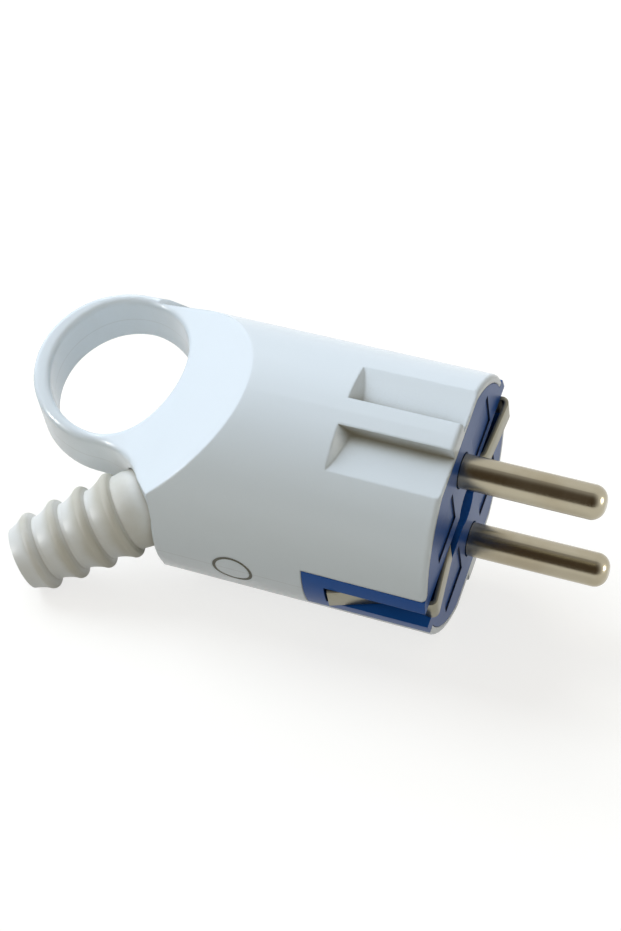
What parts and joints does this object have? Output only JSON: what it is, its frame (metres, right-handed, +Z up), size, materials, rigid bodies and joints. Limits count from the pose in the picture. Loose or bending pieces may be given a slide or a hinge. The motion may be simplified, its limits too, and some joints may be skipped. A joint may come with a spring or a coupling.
{
  "type": "type f plug",
  "caption": "Earthed two-pin mains plug with a white shell, finger ring, blue pin carrier, side earth contacts and a ribbed angled cord boot.",
  "frame": {"origin": "centre of the bounding box on the table, the plug lying as it comes to rest, on its body and the end of its cord boot", "axes": "+X along the contact pins toward their tips, +Z up, +Y to the far side, away from the cord boot"},
  "size_m": [0.085, 0.0406, 0.0365],
  "materials": {
    "shell": "gloss",
    "carrier": "gloss",
    "pin_metal": "polished nickel plate",
    "earth_metal": "satin nickel plate",
    "screw_steel": "satin",
    "brass": "satin",
    "boot": "satin"
  },
  "bodies": {
    "root": {"housing": "shell", "pin_carrier": "carrier", "upper_pin": "pin_metal", "lower_pin": "pin_metal", "upper_terminal_screw": "screw_steel", "lower_terminal_screw": "screw_steel", "far_earth_clip": "earth_metal", "near_earth_clip": "earth_metal", "earth_bridge": "earth_metal", "earth_screw": "screw_steel", "assembly_screw": "screw_steel", "assembly_insert": "brass", "cord_clamp": "carrier", "upper_clamp_screw": "screw_steel", "lower_clamp_screw": "screw_steel", "cord_boot": "boot"}
  },
  "joints": []
}
